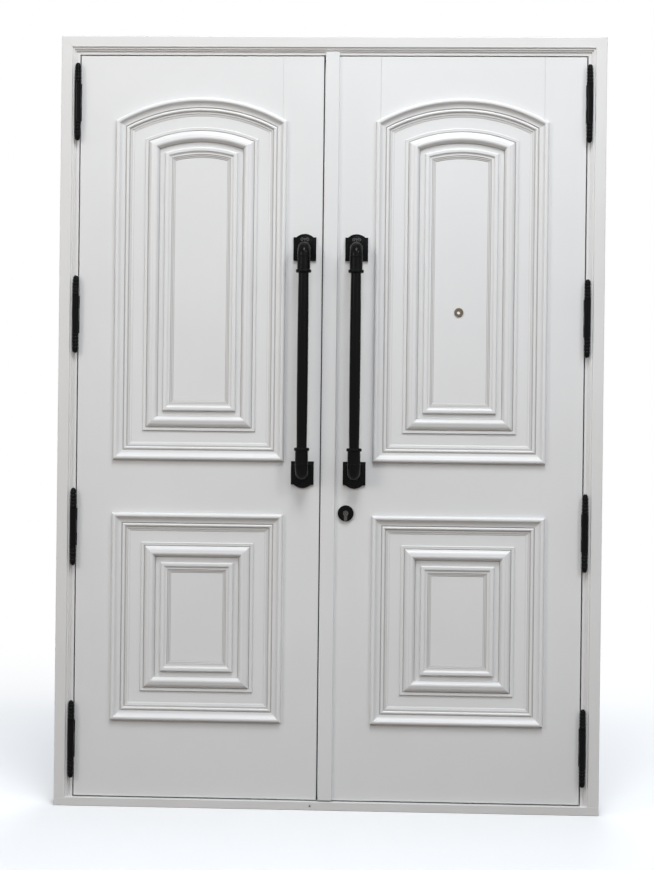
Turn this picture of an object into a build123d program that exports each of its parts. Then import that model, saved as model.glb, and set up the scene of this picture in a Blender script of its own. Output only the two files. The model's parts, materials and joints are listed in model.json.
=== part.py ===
from build123d import *
import math
import os

# Double entrance door in its frame: two framed and panelled timber leaves with nested mouldings,
# turned hinges, pull handles, a cylinder lock, flush bolts and a door viewer.
# Millimetres, Z up. The outside faces -Y. The origin is the middle of the sill's underside.

# Frame
frame_width = 1745.0
frame_height = 2475.0
frame_depth = 120.0
frame_face = 58.0
face_band = 36.0
face_step = 5.5
band_proud = 12.0
flat_setback = 1.0
band_round = 3.0
stop_lap = 14.0
sill_thickness = 27.0
sill_stop_height = 12.0
sill_hole_x = -47.0
sill_hole_height = 12.0
sill_hole_radius = 3.0
sill_hole_depth = 14.0
fixing_hole_radius = 5.0
fixing_end = 280.0
fixing_spacing = 640.0
seal_width = 8.0
seal_depth = 4.0
seal_clearance = 0.8

# Door leaves and the gaps round them
leaf_thickness = 45.0
side_gap = 4.0
top_gap = 4.0
sill_gap = 4.0
stop_gap = 2.0
meeting_gap = 5.0
strip_width = 45.0
strip_proud = 10.0
strip_top_lap = 12.0
strip_round = 3.0
edge_round = 1.5

# Stiles, rails and panels
stile_face = 119.0
top_rail_face = 134.0
joint_groove = 0.9
joint_groove_depth = 2.0
moulding_lap = 13.0
lower_panel_bottom = 277.0
lower_panel_top = 944.0
upper_panel_bottom = 1115.0
arch_radius = 545.0
panel_recess = 6.0
panel_thickness = 24.0
tongue_thickness = 10.0
groove_depth = 12.0
tongue_clearance = 0.5

# Mouldings: the widths go inwards from the outer edge of the outer moulding,
# as shares of half the width inside the stiles
outer_width_share = 0.211
outer_margin_share = 0.131
middle_width_share = 0.172
inner_margin_share = 0.060
inner_width_share = 0.1215
outer_proud = 14.0
middle_rise = 15.0
inner_rise = 10.0

# Sections as shares of width and rise: two numbers are the end of a straight stretch,
# four are a point on the way and the end of an arc
outer_shares = [
    (0.0, 0.60), (0.03, 0.88, 0.105, 1.0), (0.155, 1.0), (0.20, 0.96, 0.235, 0.86),
    (0.33, 0.60, 0.485, 0.46), (0.52, 0.46), (0.53, 0.36), (0.57, 0.34), (0.645, 0.50, 0.735, 0.36),
    (0.745, 0.25), (0.86, 0.23), (0.88, 0.12), (0.94, 0.09, 1.0, 0.02), (1.0, 0.0)]
middle_shares = [
    (0.0, 0.20), (0.22, 0.22), (0.34, 0.62, 0.60, 0.95), (0.74, 1.0, 0.84, 0.86), (0.95, 0.30),
    (1.0, 0.10), (1.0, 0.0)]
inner_shares = [
    (0.0, 0.55), (0.05, 0.88, 0.16, 1.0), (0.28, 1.0), (0.34, 0.97, 0.40, 0.86),
    (0.48, 0.62, 0.60, 0.55), (0.66, 0.55), (0.68, 0.36), (0.80, 0.36), (0.82, 0.18), (0.93, 0.18),
    (1.0, 0.04), (1.0, 0.0)]

# Hinges
hinge_count = 4
hinge_low = 214.0
hinge_top = 150.0
hinge_proud = 14.0
hinge_outboard = 4.0
barrel_radius = 10.5
barrel_length = 120.0
flap_thickness = 2.5
flap_depth = 34.0
pin_radius = 5.0
pin_clearance = 0.05
knuckle_gap = 0.3
finial_length = 65.0
finial_bead_count = 5
finial_tip_share = 0.90
finial_neck_share = 0.84

# Pull handles
handle_offset = 83.0
handle_middle = 1437.0
handle_plate_spacing = 717.0
plate_width = 73.0
plate_height = 75.0
plate_thickness = 8.0
plate_crown = 11.0
plate_ear = 9.0
plate_round = 2.0
plate_panel_inset = 9.0
plate_panel_rise = 3.0
plate_panel_round = 1.2
socket_radius = 20.5
socket_drop = 76.0
collar_radius = 24.5
collar_height = 11.0
collar_round = 3.0
bar_standoff = 62.0
bar_radius = 16.0
bar_swell = 1.5
bar_seat = 14.0
bar_clearance = 0.1
elbow_radius = 27.0
ring_radius = 22.0
ring_height = 4.0
ring_round = 1.5
bolt_radius = 4.0
bolt_hole_clearance = 0.5
bolt_grip = 12.0
bolt_cap_radius = 11.0
bolt_cap_height = 6.0

# Lock
lock_below_plate = 127.5
lock_backset = 80.0
escutcheon_radius = 25.5
escutcheon_thickness = 9.0
escutcheon_round = 3.0
cylinder_radius = 8.5
cylinder_leg = 10.0
cylinder_height = 33.0
cylinder_clearance = 0.2
cylinder_proud = 1.0
plug_radius = 6.5
plug_clearance = 0.05
plug_length = 30.0
thumb_round = 3.0
keyway_width = 1.8
keyway_height = 8.5
keyway_depth = 22.0
case_depth = 105.0
case_height = 150.0
case_thickness = 16.0
case_clearance = 0.2
faceplate_width = 22.0
faceplate_height = 220.0
faceplate_thickness = 3.0
deadbolt_width = 10.0
deadbolt_height = 32.0
deadbolt_length = 52.0
deadbolt_throw = 20.0
deadbolt_clearance = 0.3
deadbolt_rise = 34.0
deadbolt_setback = 0.5
thumb_width = 34.0
thumb_thickness = 7.0
thumb_reach = 18.0
strike_width = 22.0
strike_height = 90.0
strike_thickness = 2.5
strike_clearance = 1.0
pocket_depth = 24.0

# Flush bolts in the left leaf's edge
rod_radius = 5.0
rod_length = 190.0
rod_throw = 18.0
rod_clearance = 0.4
rod_setback = 2.0
channel_width = 15.0
channel_depth = 16.0
cover_width = 20.0
cover_length = 170.0
cover_thickness = 2.5
cover_end = 16.0
slide_width = 7.0
slide_height = 24.0
slide_slot_clearance = 0.3
slide_recess = 0.5

# Door viewer
viewer_offset = -5.0
viewer_height = 1597.0
viewer_flange_radius = 14.5
viewer_flange_thickness = 4.0
viewer_tube_radius = 7.0
viewer_tube_wall = 1.0
viewer_clearance = 0.1
viewer_lens_thickness = 3.0
viewer_lens_seat = 1.5
viewer_sleeve_share = 0.45

cut_overrun = 1.0

# Places worked out from the sizes
half_width = frame_width / 2
face_y = -frame_depth / 2
frame_back = frame_depth / 2
leaf_front = face_y + band_proud
leaf_back = leaf_front + leaf_thickness
leaf_middle = (leaf_front + leaf_back) / 2
stop_y = leaf_back + stop_gap
stop_reach = frame_face + side_gap + stop_lap
hinge_edge = half_width - frame_face - side_gap
leaf_top = frame_height - frame_face - top_gap
leaf_bottom = sill_thickness + sill_gap
right_edge = -strip_width / 2
left_edge = right_edge - meeting_gap
panel_half_width = (hinge_edge - strip_width / 2) / 2 - stile_face
opening_half = panel_half_width - moulding_lap
outer_width = panel_half_width * outer_width_share
outer_margin = panel_half_width * outer_margin_share
middle_width = panel_half_width * middle_width_share
inner_margin = panel_half_width * inner_margin_share
inner_width = panel_half_width * inner_width_share
arch_crown = leaf_top - top_rail_face
arch_middle = arch_crown - arch_radius
panel_y = leaf_front + panel_recess
panel_back = panel_y + panel_thickness
tongue_front = (panel_y + panel_back - tongue_thickness) / 2
tongue_back = tongue_front + tongue_thickness
hinge_x = hinge_edge + side_gap + hinge_outboard
hinge_y = leaf_front - hinge_proud
hinge_spacing = (leaf_top - hinge_top - hinge_low) / (hinge_count - 1)
hinge_heights = [hinge_low + hinge_spacing * number for number in range(hinge_count)]
sides = {"left": -1, "right": 1}
meeting_edges = {"left": left_edge, "right": right_edge}
visible_edges = {"left": left_edge, "right": strip_width / 2}
open_joints = {"left": (1,), "right": (-1, 1)}
leaf_middles = {side: (visible_edges[side] + sign * hinge_edge) / 2 for side, sign in sides.items()}


def export(name, *solids):
    """Writes one piece, or a group of separate like pieces, as a file of its own."""
    body = solids[0] if len(solids) == 1 else Compound(children=list(solids))
    export_step(body, os.path.join("parts", name + ".step"))


def block(x0, x1, y0, y1, z0, z1):
    """Box between two corners, given in either order."""
    middle = Pos((x0 + x1) / 2, (y0 + y1) / 2, (z0 + z1) / 2)
    return middle * Box(abs(x1 - x0), abs(y1 - y0), abs(z1 - z0))


def rod(start, end, radius):
    """Round bar between two points."""
    run = Vector(*end) - Vector(*start)
    return extrude(Plane(origin=start, z_dir=run) * Circle(radius), run.length)


def polygon(points):
    """Flat face with straight sides through the points."""
    return make_face(Polyline(*points, close=True))


def slab(outline, y0, y1):
    """Plate with an outline in X and Z, from depth y0 back to depth y1."""
    back = Plane(origin=(0, y1, 0), x_dir=(1, 0, 0), z_dir=(0, -1, 0))
    return extrude(back * outline, y1 - y0)


def mirrored(solid, sign):
    """The solid as built for the right side, or its mirror image for the left."""
    return solid if sign > 0 else mirror(solid, about=Plane.YZ)


# Frame: one moulded section run up both jambs and along the head, mitred at the corners


def frame_run(length):
    """Straight length of the frame: outer edge at x 0, the opening towards +X, run along +Z."""
    step_one = face_band + face_step
    step_two = step_one + face_step
    flat_y = leaf_front + flat_setback
    step_y = (flat_y - face_y) / 3
    section = polygon([
        (0, frame_back), (0, face_y), (face_band, face_y), (face_band, face_y + step_y),
        (step_one, face_y + step_y), (step_one, flat_y - step_y), (step_two, flat_y - step_y),
        (step_two, flat_y), (frame_face, flat_y), (frame_face, stop_y), (stop_reach, stop_y),
        (stop_reach, frame_back)])
    section = fillet(section.vertices().group_by(Axis.Y)[0], band_round)
    run = extrude(section, length)
    seal_x = frame_face + (stop_reach - frame_face) / 2
    return run - block(seal_x - seal_width / 2, seal_x + seal_width / 2, stop_y, stop_y + seal_depth,
                       -cut_overrun, length + cut_overrun)


def frame_seals():
    """Seal lengths in the groove of the stop: up the two jambs and along the head."""
    proud = stop_gap - seal_clearance
    seal_x = frame_face + (stop_reach - frame_face) / 2
    near, far = seal_x - seal_width / 2, seal_x + seal_width / 2
    side = block(-half_width + near, -half_width + far, stop_y - proud, stop_y + seal_depth,
                 sill_thickness + sill_stop_height, frame_height - far)
    head = block(-half_width + near, half_width - near, stop_y - proud, stop_y + seal_depth,
                 frame_height - far, frame_height - near)
    return [side, mirror(side, about=Plane.YZ), head]


def flap_recess(face_x, height, into):
    """Shallow housing for a hinge flap in an upright face; into is the side that holds the wood."""
    return block(face_x - into * cut_overrun, face_x + into * flap_thickness, leaf_front - cut_overrun,
                 leaf_front + flap_depth, height - barrel_length / 2, height + barrel_length / 2)


def fixing_heights():
    """Heights of the fixing holes in a jamb, in two pairs."""
    return [fixing_end, fixing_end + fixing_spacing,
            frame_height - fixing_end - fixing_spacing, frame_height - fixing_end]


def jamb():
    """Right jamb, with its hinge housings and the holes for its fixing screws."""
    top = frame_height - stop_reach
    shape = Pos(-half_width, 0, sill_thickness) * frame_run(frame_height - sill_thickness)
    shape &= slab(polygon([(-half_width, sill_thickness), (-half_width, frame_height),
                           (stop_reach - half_width, top), (stop_reach - half_width, sill_thickness)]),
                  face_y, frame_back)
    shape = mirror(shape, about=Plane.YZ)
    fixing_y = (stop_y + seal_depth + frame_back) / 2
    for height in fixing_heights():
        shape -= rod((half_width - stop_reach - cut_overrun, fixing_y, height),
                     (half_width + cut_overrun, fixing_y, height), fixing_hole_radius)
    for height in hinge_heights:
        shape -= flap_recess(half_width - frame_face, height, 1)
    return shape


def bolt_keep(z0, z1):
    """Hole that a flush bolt shoots into."""
    x, y = rod_axis()
    return rod((x, y, z0), (x, y, z1), rod_radius + rod_clearance)


def frame_head():
    """Head of the frame, with the keep of the top flush bolt."""
    low = frame_height - stop_reach
    shape = Pos(-half_width, 0, frame_height) * Rot(0, 90, 0) * frame_run(frame_width)
    shape &= slab(polygon([(-half_width, frame_height), (half_width, frame_height),
                           (half_width - stop_reach, low), (stop_reach - half_width, low)]),
                  face_y, frame_back)
    keep_start = frame_height - frame_face
    return shape - bolt_keep(keep_start - cut_overrun, keep_start + rod_throw)


def sill():
    """Sill under the jambs, with a low stop behind the leaves, the keep of the bottom flush bolt
    and a small drilled hole in front."""
    inner = half_width - stop_reach
    shape = block(-half_width, half_width, face_y, frame_back, 0, sill_thickness)
    front_edges = shape.edges().filter_by(Axis.X).group_by(Axis.Y)[0]
    shape = fillet(front_edges.sort_by(Axis.Z)[-1:], edge_round)
    shape += block(-inner, inner, stop_y, frame_back, sill_thickness, sill_thickness + sill_stop_height)
    shape -= rod((sill_hole_x, face_y - cut_overrun, sill_hole_height),
                 (sill_hole_x, face_y + sill_hole_depth, sill_hole_height), sill_hole_radius)
    return shape - bolt_keep(sill_thickness - rod_throw, sill_thickness + cut_overrun)


# Leaves: stiles and rails grooved for the panels' tongues


def arched_outline(middle, half, bottom, radius):
    """Upright outline with a round arched top, its arc about the common middle of the arches."""
    shoulder = arch_middle + math.sqrt(radius ** 2 - half ** 2)
    sides_and_foot = Polyline((middle - half, shoulder), (middle - half, bottom),
                              (middle + half, bottom), (middle + half, shoulder))
    crown = (middle, arch_middle + radius)
    arch = ThreePointArc((middle + half, shoulder), crown, (middle - half, shoulder))
    return make_face([*sides_and_foot.edges(), arch])


def square_outline(middle, half, bottom, top):
    """Upright rectangle."""
    return polygon([(middle - half, bottom), (middle - half, top),
                    (middle + half, top), (middle + half, bottom)])


def upper_outline(middle, inset):
    """Outline of the upper panel's work, inset from the outer edge of its outer moulding."""
    return arched_outline(middle, panel_half_width - inset, upper_panel_bottom + inset, arch_radius - inset)


def lower_outline(middle, inset):
    """Outline of the lower panel's work, inset from the outer edge of its outer moulding."""
    return square_outline(middle, panel_half_width - inset, lower_panel_bottom + inset,
                          lower_panel_top - inset)


def panel(outline, middle):
    """Panel board with a tongue all round, for an outline of the upper or the lower opening."""
    board = slab(outline(middle, moulding_lap + tongue_clearance), panel_y, panel_back)
    tongue_inset = moulding_lap + tongue_clearance - groove_depth
    return board + slab(outline(middle, tongue_inset), tongue_front, tongue_back)


def stile(outer_x, inner_x):
    """Full-height stile with a groove in its inner edge."""
    into = 1 if outer_x > inner_x else -1
    shape = block(outer_x, inner_x, leaf_front, leaf_back, leaf_bottom, leaf_top)
    return shape - block(inner_x - into * cut_overrun, inner_x + into * groove_depth, tongue_front,
                         tongue_back, leaf_bottom - cut_overrun, leaf_top + cut_overrun)


def rail(middle, low, high, tenon_low, tenon_high):
    """Rail between the stiles, with a stub tenon at each end."""
    tenon_half = opening_half + groove_depth
    return (block(middle - opening_half, middle + opening_half, leaf_front, leaf_back, low, high)
            + block(middle - tenon_half, middle + tenon_half, tongue_front, tongue_back,
                    tenon_low, tenon_high))


def top_rail(side):
    """Top rail with an arched lower edge, grooved along the arch, and open joints beside some stiles."""
    middle = leaf_middles[side]
    radius = arch_radius - moulding_lap
    low = arch_middle + math.sqrt(radius ** 2 - opening_half ** 2)
    shape = rail(middle, low, leaf_top, low, leaf_top)
    for end in open_joints[side]:
        edge = middle + end * opening_half
        shape -= block(edge - end * joint_groove, edge + end * cut_overrun, leaf_front - cut_overrun,
                       leaf_front + joint_groove_depth, low - cut_overrun, leaf_top + cut_overrun)
    centre = Pos(middle, arch_middle)
    shape -= slab(centre * Circle(radius), leaf_front - cut_overrun, leaf_back + cut_overrun)
    return shape - slab(centre * Circle(radius + groove_depth), tongue_front, tongue_back)


def rail_groove(middle, edge_z, into):
    """Groove for a panel's tongue along a rail's straight edge."""
    tenon_half = opening_half + groove_depth
    return block(middle - tenon_half, middle + tenon_half, tongue_front, tongue_back,
                 edge_z - into * cut_overrun, edge_z + into * groove_depth)


def lock_rail(middle):
    """Middle rail, grooved above and below."""
    low = lower_panel_top - moulding_lap
    high = upper_panel_bottom + moulding_lap
    shape = rail(middle, low, high, low, high)
    return shape - rail_groove(middle, low, 1) - rail_groove(middle, high, -1)


def bottom_rail(middle):
    """Bottom rail, grooved above."""
    high = lower_panel_bottom + moulding_lap
    return rail(middle, leaf_bottom, high, leaf_bottom, high) - rail_groove(middle, high, -1)


# Mouldings: each ring is four lengths of one section, mitred at the corners


def moulding_section(shares, width, rise, foot):
    """Section of a moulding: X inwards from its outer edge, Y out from the panel.
    foot holds the points of its seat, from the inner edge back to the outer one."""
    edges = []
    start = foot[-1]
    for share in shares:
        end = (share[-2] * width, share[-1] * rise)
        if len(share) == 4:
            edges.append(ThreePointArc(start, (share[0] * width, share[1] * rise), end))
        else:
            edges.append(Line(start, end))
        start = end
    edges.extend(Polyline(start, *foot).edges())
    return make_face(edges)


def moulding_plan():
    """Each moulding's name, section, width and inset from the outer edge of the outer one."""
    outer_foot = [(moulding_lap, 0), (moulding_lap, panel_recess), (0, panel_recess)]
    middle_inset = outer_width + outer_margin
    inner_inset = middle_inset + middle_width + inner_margin
    outer = moulding_section(outer_shares, outer_width, outer_proud + panel_recess, outer_foot)
    middle = moulding_section(middle_shares, middle_width, middle_rise, [(0, 0)])
    inner = moulding_section(inner_shares, inner_width, inner_rise, [(0, 0)])
    return [("outer", outer, outer_width, 0), ("middle", middle, middle_width, middle_inset),
            ("inner", inner, inner_width, inner_inset)]


def laid(section, origin, inwards, along):
    """Section set up at a point of a run, with its face turned out of the door."""
    return Plane(origin=origin, x_dir=inwards, z_dir=along) * section


def ring_side(section, sign, middle, half, bottom, shoulder):
    """Upright length of a moulding, before its mitres."""
    start = bottom if sign > 0 else shoulder
    place = laid(section, (middle + sign * half, panel_y, start), (-sign, 0, 0), (0, 0, sign))
    return extrude(place, shoulder - bottom)


def ring_foot(section, middle, half, bottom):
    """Lower length of a moulding, before its mitres."""
    return extrude(laid(section, (middle - half, panel_y, bottom), (0, 0, 1), (1, 0, 0)), 2 * half)


def ring_head(section, middle, half, top):
    """Straight upper length of a moulding, before its mitres."""
    return extrude(laid(section, (middle + half, panel_y, top), (0, 0, -1), (-1, 0, 0)), 2 * half)


def ring_arch(section, middle, half, radius):
    """Arched upper length of a moulding, turned about the common middle of the arches."""
    axis = Axis((middle, 0, arch_middle), (0, 1, 0))
    reach = math.degrees(math.asin(half / radius))
    crown = laid(section, (middle, panel_y, arch_middle + radius), (0, 0, -1), (-1, 0, 0))
    return revolve(crown.rotate(axis, -reach), axis, 2 * reach)


def moulding_ring(section, width, inset, middle, bottom, top, arched):
    """The four mitred lengths of one moulding round an upper or a lower panel."""
    half, radius = panel_half_width - inset, arch_radius - inset
    low, inner_half = bottom + inset, half - width

    def shoulder(extra):
        if arched:
            return arch_middle + math.sqrt((radius - extra) ** 2 - (half - extra) ** 2)
        return top - inset - extra

    high, inner_high = shoulder(0), shoulder(width)

    def mitred(run, outline):
        return run & slab(polygon(outline), leaf_front - frame_depth, panel_y)

    left = [(middle - half, low), (middle - half, high), (middle - inner_half, inner_high),
            (middle - inner_half, low + width)]
    right = [(2 * middle - x, z) for x, z in left]
    foot = [left[0], left[3], right[3], right[0]]
    head = [left[1], left[2], right[2], right[1]]
    if arched:
        crown = arch_middle + radius + cut_overrun
        head += [(middle + half, crown), (middle - half, crown)]
    upper = ring_arch(section, middle, half, radius) if arched else ring_head(section, middle, half, high)
    return [mitred(ring_side(section, -1, middle, half, low, high), left),
            mitred(ring_side(section, 1, middle, half, low, high), right),
            mitred(ring_foot(section, middle, half, low), foot), mitred(upper, head)]


# Hinges: a flap in each of two edges, three knuckles and a pin with turned finials


def knuckle_spans(height):
    """Lower and upper end of the three knuckles of the hinge at a height, from below."""
    length = (barrel_length - 2 * knuckle_gap) / 3
    pitch = length + knuckle_gap
    low = height - barrel_length / 2
    return [(low + number * pitch, low + number * pitch + length) for number in range(3)]


def hinge_flap(plate_x, height, knuckles):
    """Flap between two X faces, let into an edge and reaching forward to its own knuckles."""
    near, far = plate_x
    low, high = height - barrel_length / 2, height + barrel_length / 2
    shape = block(near, far, leaf_front, leaf_front + flap_depth, low, high)
    for number in knuckles:
        start, end = knuckle_spans(height)[number]
        shape += block(near, far, hinge_y, leaf_front, start, end)
        shape += rod((hinge_x, hinge_y, start), (hinge_x, hinge_y, end), barrel_radius)
    return shape - rod((hinge_x, hinge_y, low - cut_overrun), (hinge_x, hinge_y, high + cut_overrun),
                       pin_radius + pin_clearance)


def frame_flaps(sign):
    """Flaps in the jamb, each with the upper and lower knuckle of its hinge."""
    face = half_width - frame_face
    return [mirrored(hinge_flap((face, face + flap_thickness), height, (0, 2)), sign)
            for height in hinge_heights]


def leaf_flaps(sign):
    """Flaps in the leaf's edge, each with the middle knuckle of its hinge."""
    return [mirrored(hinge_flap((hinge_edge - flap_thickness, hinge_edge), height, (1,)), sign)
            for height in hinge_heights]


def finial_outline(seat, outwards):
    """Outline of a finial from its seat to its tip: radius along X, height along Y.
    A row of beads grows smaller towards a domed tip. outwards is 1 for the upper end, -1 for the lower."""
    bead_pitch = finial_length / (finial_bead_count + 1)
    points = [(pin_radius, seat), (barrel_radius, seat)]
    for number in range(finial_bead_count):
        bead = barrel_radius * (1 - (1 - finial_tip_share) * (number + 1) / finial_bead_count)
        points.append((bead, seat + outwards * bead_pitch * (number + 1 / 2)))
        points.append((bead * finial_neck_share, seat + outwards * bead_pitch * (number + 1)))
    tip = seat + outwards * finial_length
    neck = points[-1]
    dome_rise = (bead_pitch ** 2 - neck[0] ** 2) / (2 * bead_pitch)
    dome_radius = bead_pitch - dome_rise
    widest = (dome_radius, neck[1] + outwards * dome_rise)
    return [*Polyline(*points).edges(), ThreePointArc(neck, widest, (0, tip))]


def hinge_pins(sign):
    """Pins with a turned finial at each end."""
    half = barrel_length / 2
    shank = Line((pin_radius, -half), (pin_radius, half))
    middle_line = Line((0, -half - finial_length), (0, half + finial_length))
    outline = make_face([shank, middle_line, *finial_outline(half, 1), *finial_outline(-half, -1)])
    pin = revolve(Plane.XZ * outline, Axis.Z)
    return [mirrored(Pos(hinge_x, hinge_y, height) * pin, sign) for height in hinge_heights]


def hinge_stile(side):
    """Stile on the hinge side, with its flap housings and a softened front edge."""
    sign = sides[side]
    edge = sign * hinge_edge
    shape = softened(stile(edge, leaf_middles[side] + sign * opening_half), edge)
    for height in hinge_heights:
        shape -= flap_recess(edge, height, -sign)
    return shape


def softened(shape, edge_x):
    """Stile with its upright front edge at one X rounded over."""
    front = shape.edges().filter_by(Axis.Z).group_by(Axis.Y)[0]
    return fillet(front.sort_by(lambda edge: abs(edge.center().X - edge_x))[:1], edge_round)


def meeting_stile(side):
    """Stile on the meeting side, bored for the handle's bolts."""
    sign = sides[side]
    shape = stile(meeting_edges[side], leaf_middles[side] - sign * opening_half)
    for height in plate_heights():
        shape -= rod((sign * handle_offset, leaf_front - cut_overrun, height),
                     (sign * handle_offset, leaf_back + cut_overrun, height),
                     bolt_radius + bolt_hole_clearance)
    return shape


# Pull handles: a bar between two brackets that turn out of their wall plates


def plate_heights():
    """Height of the middle of the lower and the upper wall plate."""
    return [handle_middle - handle_plate_spacing / 2, handle_middle + handle_plate_spacing / 2]


def plate_outline(x, z, inset):
    """Wall plate with square ears and a round crown, drawn in by inset all round."""
    side, top, low = x + plate_width / 2 - inset, z + plate_height / 2 - inset, z - plate_height / 2 + inset
    ear = side - plate_ear
    left, left_ear = 2 * x - side, 2 * x - ear
    body = Polyline((left_ear, top), (left, top), (left, low), (side, low), (side, top), (ear, top))
    return make_face([*body.edges(), ThreePointArc((ear, top), (x, top + plate_crown), (left_ear, top))])


def raised_plate(x, z):
    """Wall plate with rounded edges and a raised panel of the same outline."""
    front = leaf_front - plate_thickness
    plate = slab(plate_outline(x, z, 0), front, leaf_front)
    raised = slab(plate_outline(x, z, plate_panel_inset), front - plate_panel_rise, leaf_front)
    return (fillet(plate.faces().sort_by(Axis.Y)[0].edges(), plate_round)
            + fillet(raised.faces().sort_by(Axis.Y)[0].edges(), plate_panel_round))


def bead(x, y, low, height, radius, rounding):
    """Short round collar about an upright axis, with rounded rims."""
    collar = rod((x, y, low), (x, y, low + height), radius)
    return fillet(collar.edges().filter_by(GeomType.CIRCLE), rounding)


def upper_bracket(x):
    """Upper bracket: wall plate, elbow, ring, collar, and the seats of the bar and the bolt."""
    z = plate_heights()[1]
    front, bar_y = leaf_front - plate_thickness, leaf_front - bar_standoff
    path = FilletPolyline((x, leaf_front - plate_thickness / 2, z), (x, bar_y, z),
                          (x, bar_y, z - socket_drop), radius=elbow_radius)
    elbow = sweep(Plane(origin=path @ 0, z_dir=path % 0) * Circle(socket_radius), path)
    low = z - socket_drop - collar_height / 2
    collar = bead(x, bar_y, low, collar_height, collar_radius, collar_round)
    ring = bead(x, bar_y, z - elbow_radius - ring_height, ring_height, ring_radius, ring_round)
    bracket = raised_plate(x, z) + elbow + ring + collar
    bracket -= rod((x, bar_y, low - cut_overrun), (x, bar_y, low + bar_seat), bar_radius + bar_clearance)
    return bracket - rod((x, leaf_front + cut_overrun, z), (x, front - bolt_grip, z),
                         bolt_radius + pin_clearance)


def lower_bracket(x):
    """Lower bracket: the upper one turned over."""
    return mirror(upper_bracket(x), about=Plane(origin=(0, 0, handle_middle), z_dir=(0, 0, 1)))


def handle_bar(x):
    """Round bar with a slight swell, seated in both brackets."""
    free = handle_plate_spacing / 2 - socket_drop - collar_height / 2
    half = free + bar_seat
    side = ThreePointArc((bar_radius, -free), (bar_radius + bar_swell, 0), (bar_radius, free))
    rest = Polyline((bar_radius, free), (bar_radius, half), (0, half), (0, -half), (bar_radius, -half),
                    (bar_radius, -free))
    bar = revolve(Plane.XZ * make_face([side, *rest.edges()]), Axis.Z)
    return Pos(x, leaf_front - bar_standoff, handle_middle) * bar


def handle_bolts(x):
    """Through bolts of a handle, each with a domed cap on the inside of the leaf."""
    bolts = []
    for height in plate_heights():
        bolt = rod((x, leaf_back, height), (x, leaf_front - plate_thickness - bolt_grip, height), bolt_radius)
        cap = rod((x, leaf_back, height), (x, leaf_back + bolt_cap_height, height), bolt_cap_radius)
        rim = cap.edges().filter_by(GeomType.CIRCLE).sort_by(Axis.Y)[-1:]
        bolts.append(bolt + fillet(rim, bolt_cap_height / 2))
    return bolts


# Meeting strip and lock of the right leaf


def meeting_strip():
    """Strip planted on the right leaf's meeting edge, rising in front of the head's inner flat."""
    shape = block(right_edge, right_edge + strip_width, leaf_front - strip_proud, leaf_front,
                  leaf_bottom, leaf_top + strip_top_lap)
    return fillet(shape.edges().filter_by(Axis.Z).group_by(Axis.Y)[0], strip_round)


lock_x = right_edge + lock_backset
lock_height = handle_middle - handle_plate_spacing / 2 - lock_below_plate
deadbolt_z = lock_height + deadbolt_rise


def cylinder_outline(extra):
    """Lock cylinder's outline: a round with a narrower leg under it, grown by extra all round."""
    leg_half = cylinder_leg / 2
    leg_low = lock_height + cylinder_radius - cylinder_height + leg_half
    leg = square_outline(lock_x, leg_half + extra, leg_low, lock_height)
    return (Pos(lock_x, lock_height) * Circle(cylinder_radius + extra) + leg
            + Pos(lock_x, leg_low) * Circle(leg_half + extra))


def cylinder_passage():
    """Hole for the lock cylinder, right through leaf and escutcheons."""
    reach = escutcheon_thickness + cut_overrun
    return slab(cylinder_outline(cylinder_clearance), leaf_front - reach, leaf_back + reach)


def deadbolt_block(extra, x0, x1):
    """Deadbolt's square section between two X, grown by extra."""
    return block(x0, x1, leaf_middle - deadbolt_width / 2 - extra, leaf_middle + deadbolt_width / 2 + extra,
                 deadbolt_z - deadbolt_height / 2 - extra, deadbolt_z + deadbolt_height / 2 + extra)


def deadbolt():
    """Deadbolt, drawn back just behind the face plate."""
    start = right_edge + deadbolt_setback
    return deadbolt_block(0, start, start + deadbolt_length)


def case_blocks(extra):
    """Lock case and its face plate, grown by extra where the mortice leaves room."""
    half_case, half_plate = case_thickness / 2 + extra, faceplate_width / 2 + extra
    case = block(right_edge, right_edge + case_depth + extra, leaf_middle - half_case, leaf_middle + half_case,
                 lock_height - case_height / 2 - extra, lock_height + case_height / 2 + extra)
    return case + block(right_edge, right_edge + faceplate_thickness, leaf_middle - half_plate,
                        leaf_middle + half_plate, lock_height - faceplate_height / 2 - extra,
                        lock_height + faceplate_height / 2 + extra)


def lock_case():
    """Mortice lock case with the deadbolt's way and the cylinder's hole."""
    way_end = right_edge + deadbolt_setback + deadbolt_length + deadbolt_clearance
    way = deadbolt_block(deadbolt_clearance, right_edge - cut_overrun, way_end)
    return case_blocks(0) - way - cylinder_passage()


def right_meeting_stile():
    """Meeting stile of the right leaf, morticed for the lock."""
    mouth = block(right_edge - cut_overrun, right_edge, leaf_middle - faceplate_width / 2,
                  leaf_middle + faceplate_width / 2, lock_height - faceplate_height / 2,
                  lock_height + faceplate_height / 2)
    return meeting_stile("right") - case_blocks(case_clearance) - mouth - cylinder_passage()


def escutcheon(y0, y1):
    """Round cover on a leaf face at y0, its rim rounded at y1, open for the cylinder."""
    disc = rod((lock_x, y0, lock_height), (lock_x, y1, lock_height), escutcheon_radius)
    rim = disc.edges().filter_by(GeomType.CIRCLE).sort_by(lambda edge: abs(edge.center().Y - y1))[:1]
    return fillet(rim, escutcheon_round) - cylinder_passage()


cylinder_front = leaf_front - escutcheon_thickness - cylinder_proud
cylinder_back = leaf_back + escutcheon_thickness + cylinder_proud


def lock_cylinder():
    """Cylinder body, bored from both ends for the key plug and the thumb turn."""
    bore = plug_radius + plug_clearance
    shape = slab(cylinder_outline(0), cylinder_front, cylinder_back)
    shape -= rod((lock_x, cylinder_front - cut_overrun, lock_height),
                 (lock_x, cylinder_front + plug_length, lock_height), bore)
    return shape - rod((lock_x, cylinder_back + cut_overrun, lock_height),
                       (lock_x, cylinder_back - plug_length, lock_height), bore)


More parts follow.
